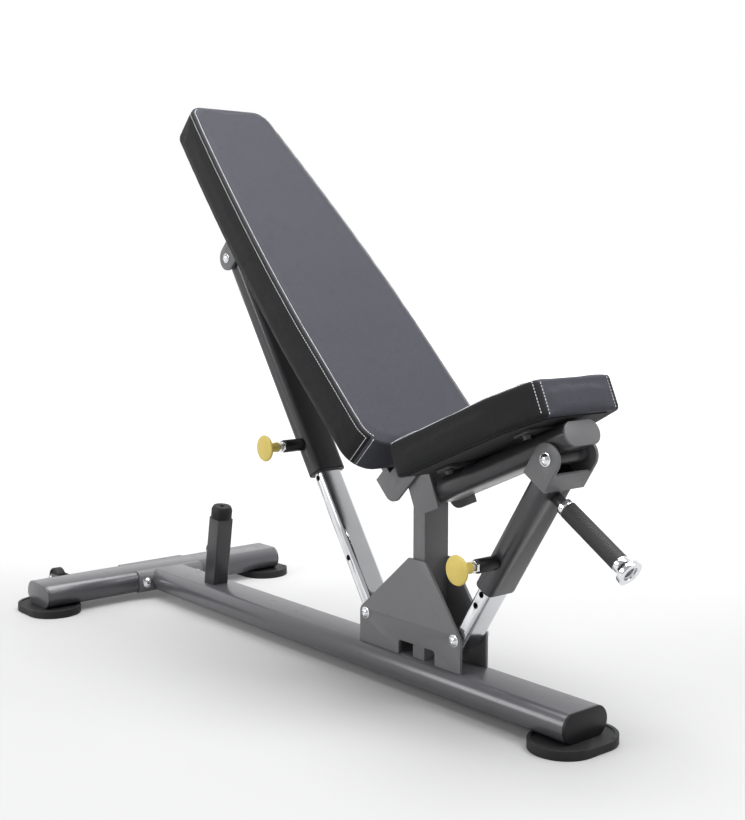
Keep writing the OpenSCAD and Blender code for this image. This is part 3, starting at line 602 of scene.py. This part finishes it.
    def smooth(self):
        relax = self.piece.modifiers.new("relax", "SMOOTH")
        relax.factor = 0.5
        relax.iterations = 1
        finer = self.piece.modifiers.new("finer", "SUBSURF")
        finer.levels = finer.render_levels = 1
        apply_all(self.piece)
        bpy.ops.object.shade_smooth()

    def sew(self):
        """Draws the cover in along the seam and keeps the distance to it for the finish."""
        mesh = self.piece.data
        points = coordinates(mesh)
        off = self.off_seam(points)
        upper = points[:, 2] > self.low[2] + 4 * MM
        depth = GROOVE_DEPTH * np.exp(-((off / GROOVE_WIDTH) ** 2)) * upper
        set_coordinates(mesh, points - normals(mesh) * depth[:, None])
        layer = mesh.attributes.new("seam", "FLOAT", "POINT")
        layer.data.foreach_set("value", off.astype(np.float32))

    def seam_path(self, side, row):
        """Points on the cover along one row of stitches, and the way out of the cover at each."""
        tree = BVHTree.FromObject(self.piece, bpy.context.evaluated_depsgraph_get())
        first, last = row.at_hinge, self.runs[-1] - row.at_far
        top, bottom = self.high[2] - max(row.drop, 4 * MM), self.low[2] + 5 * MM
        down = [top - (top - bottom) * k / SIDE_RAYS for k in range(SIDE_RAYS + 1)]
        along = [first + (last - first) * k / FACE_RAYS for k in range(FACE_RAYS + 1)]
        rays = [self.ray_in(first, side, z) for z in reversed(down)]
        if row.drop:
            rays += [self.ray_in(run, side, self.high[2] - row.drop) for run in along]
        else:
            rays += [self.ray_down(run, side, row.inset) for run in along]
        rays += [self.ray_in(last, side, z) for z in down]
        path = []
        for origin, direction in rays:
            spot, out, _, _ = tree.ray_cast(origin, direction)
            if spot:
                path.append((spot, out))
        return path

    def ray_in(self, run, side, z):
        """A ray from outside the rim straight into it."""
        out = self.rim_way_out(run)
        t, y = self.rim_point(run) + out * RAY_START
        origin = Vector((self.way * (t + self.start), side * y, z))
        return origin, Vector((-self.way * out[0], -side * out[1], 0.0))

    def ray_down(self, run, side, inset):
        """A ray from above the face down onto it, inset from the rim."""
        t, y = self.rim_point(run) - self.rim_way_out(run) * inset
        origin = Vector((self.way * (t + self.start), side * y, self.high[2] + RAY_START))
        return origin, Vector((0, 0, -1))

    def stitch(self, name, rows):
        """The rows of thread beside the seam, as separate stitches let into the cover."""
        bpy.ops.object.select_all(action="DESELECT")
        bpy.ops.mesh.primitive_uv_sphere_add(segments=8, ring_count=5, radius=0.5)
        pattern = bpy.context.active_object
        verts = coordinates(pattern.data) * STITCH_SIZE
        faces = [tuple(face.vertices) for face in pattern.data.polygons]
        bpy.data.objects.remove(pattern)
        all_verts, all_faces = [], []
        for side in (-1, 1):
            for row in rows:
                path = self.seam_path(side, row)
                for middle, along, out in evenly(path, STITCH_PITCH):
                    across = out.cross(along).normalized()
                    axes = np.array([along, across, across.cross(along) * -1])
                    base = len(all_verts)
                    all_verts += (verts @ axes + np.array(middle)).tolist()
                    all_faces += [tuple(base + i for i in face) for face in faces]
        mesh = bpy.data.meshes.new(name)
        mesh.from_pydata(all_verts, [], all_faces)
        piece = bpy.data.objects.new(name, mesh)
        bpy.context.scene.collection.objects.link(piece)
        take_up(piece)
        bpy.ops.object.mode_set(mode="EDIT")
        bpy.ops.mesh.select_all(action="SELECT")
        bpy.ops.mesh.normals_make_consistent(inside=False)
        bpy.ops.object.mode_set(mode="OBJECT")
        bpy.ops.object.shade_smooth()
        mesh.transform(self.place)
        return piece


def evenly(path, pitch):
    """Middle, direction and outward way of each stitch, a pitch apart along the path."""
    since = pitch
    for (here, out), (there, _) in zip(path, path[1:]):
        step = (there - here).length
        since += step
        if since >= pitch and step > 1e-6:
            since = 0.0
            yield here + out * STITCH_LIFT, (there - here).normalized(), out


def make_pad(pad, node, cap, rows):
    pad.shrink(ROOM_TO_SWELL)
    pad.remesh()
    pad.inflate(cap)
    pad.smooth()
    pad.sew()
    stitches = pad.stitch(pad.piece.name + "_stitching", rows)
    pad.piece.data.transform(pad.place)
    dress(pad.piece, node)
    stitches.data.materials.append(THREAD)
    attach(stitches, BODY_OF[node])


def make_cushions():
    seat_seam = Seam(at_hinge=0.1175, at_far=0.079, inset=0.008, drop=0.005)
    seat = Pad("seat_cushion", "seat_pad", -SEAT_SLOPE, 1, seat_seam)
    seat_rows = (
        Row(inset=0.0045, drop=0.0, at_hinge=0.1225, at_far=0.091),
        Row(inset=0.012, drop=0.0, at_hinge=0.1125, at_far=0.0765),
    )
    make_pad(seat, "seat_pad", 3 * MM, seat_rows)
    back_seam = Seam(at_hinge=0.136, at_far=0.091, inset=0.0055, drop=0.004)
    back = Pad("backrest_cushion", "backrest_pad", BACK_SLOPE, -1, back_seam)
    back_rows = (
        Row(inset=0.0, drop=0.007, at_hinge=0.1426, at_far=0.0975),
        Row(inset=0.0085, drop=0.0, at_hinge=0.13, at_far=0.0845),
    )
    make_pad(back, "backrest_pad", 3.5 * MM, back_rows)


# ---- camera, light and floor ----

FLOOR_SIZE = 40.0
LAMP_TARGET = (0.0, 0.0, 0.4)
FADE_FROM, FADE_TO = -0.1, 0.65
ROOM_DIM, ROOM_BRIGHT = 0.45, 1.0


def set_stage():
    bpy.ops.object.select_all(action="DESELECT")
    bpy.ops.mesh.primitive_plane_add(size=FLOOR_SIZE, location=(0.0, 0.0, 0.0))
    floor = bpy.context.active_object
    floor.name = "studio_floor"
    floor.data.materials.append(studio_floor())


def aim(thing, direction):
    thing.rotation_euler = direction.to_track_quat("-Z", "Y").to_euler()


def add_lamp(name, place, size, power):
    data = bpy.data.lights.new(name, "AREA")
    data.shape = "RECTANGLE"
    data.size, data.size_y = size
    data.energy = power
    lamp = bpy.data.objects.new(name, data)
    bpy.context.scene.collection.objects.link(lamp)
    lamp.location = place
    aim(lamp, Vector(LAMP_TARGET) - lamp.location)


def set_light():
    """A pale room, brighter on the backdrop side, lit from above, the left and the front."""
    world = bpy.data.worlds.new("studio")
    bpy.context.scene.world = world
    world.use_nodes = True
    nodes, links = world.node_tree.nodes, world.node_tree.links
    sky = nodes["Background"]
    sky.inputs["Color"].default_value = (1.0, 1.0, 1.0, 1.0)
    way = nodes.new("ShaderNodeTexCoord")
    towards = nodes.new("ShaderNodeVectorMath")
    towards.operation = "DOT_PRODUCT"
    towards.inputs[1].default_value = BACKDROP_WAY
    fade = nodes.new("ShaderNodeMapRange")
    fade.interpolation_type = "SMOOTHSTEP"
    for socket, value in zip(fade.inputs[1:5], (FADE_FROM, FADE_TO, ROOM_DIM, ROOM_BRIGHT)):
        socket.default_value = value
    links.new(way.outputs["Generated"], towards.inputs[0])
    links.new(towards.outputs["Value"], fade.inputs[0])
    links.new(fade.outputs[0], sky.inputs["Strength"])
    add_lamp("overhead", (0.1, 0.1, 5.0), (4.0, 4.0), 400.0)
    add_lamp("left_key", (-1.2, -3.8, 1.9), (2.6, 1.8), 105.0)
    add_lamp("front_fill", (2.6, 0.9, 3.2), (1.4, 1.4), 95.0)


def set_camera():
    turn = math.radians(50.119)
    dip = math.radians(6.352)
    data = bpy.data.cameras.new("camera")
    data.lens = 55.75
    camera = bpy.data.objects.new("camera", data)
    bpy.context.scene.collection.objects.link(camera)
    camera.location = (1.92245, -1.48821, 0.74913)
    level = math.cos(dip)
    aim(camera, Vector((-math.sin(turn) * level, math.cos(turn) * level, -math.sin(dip))))
    bpy.context.scene.camera = camera
    bpy.context.scene.view_settings.view_transform = "Standard"


set_stage()
set_light()
set_camera()
finish_hard_parts()
make_cushions()
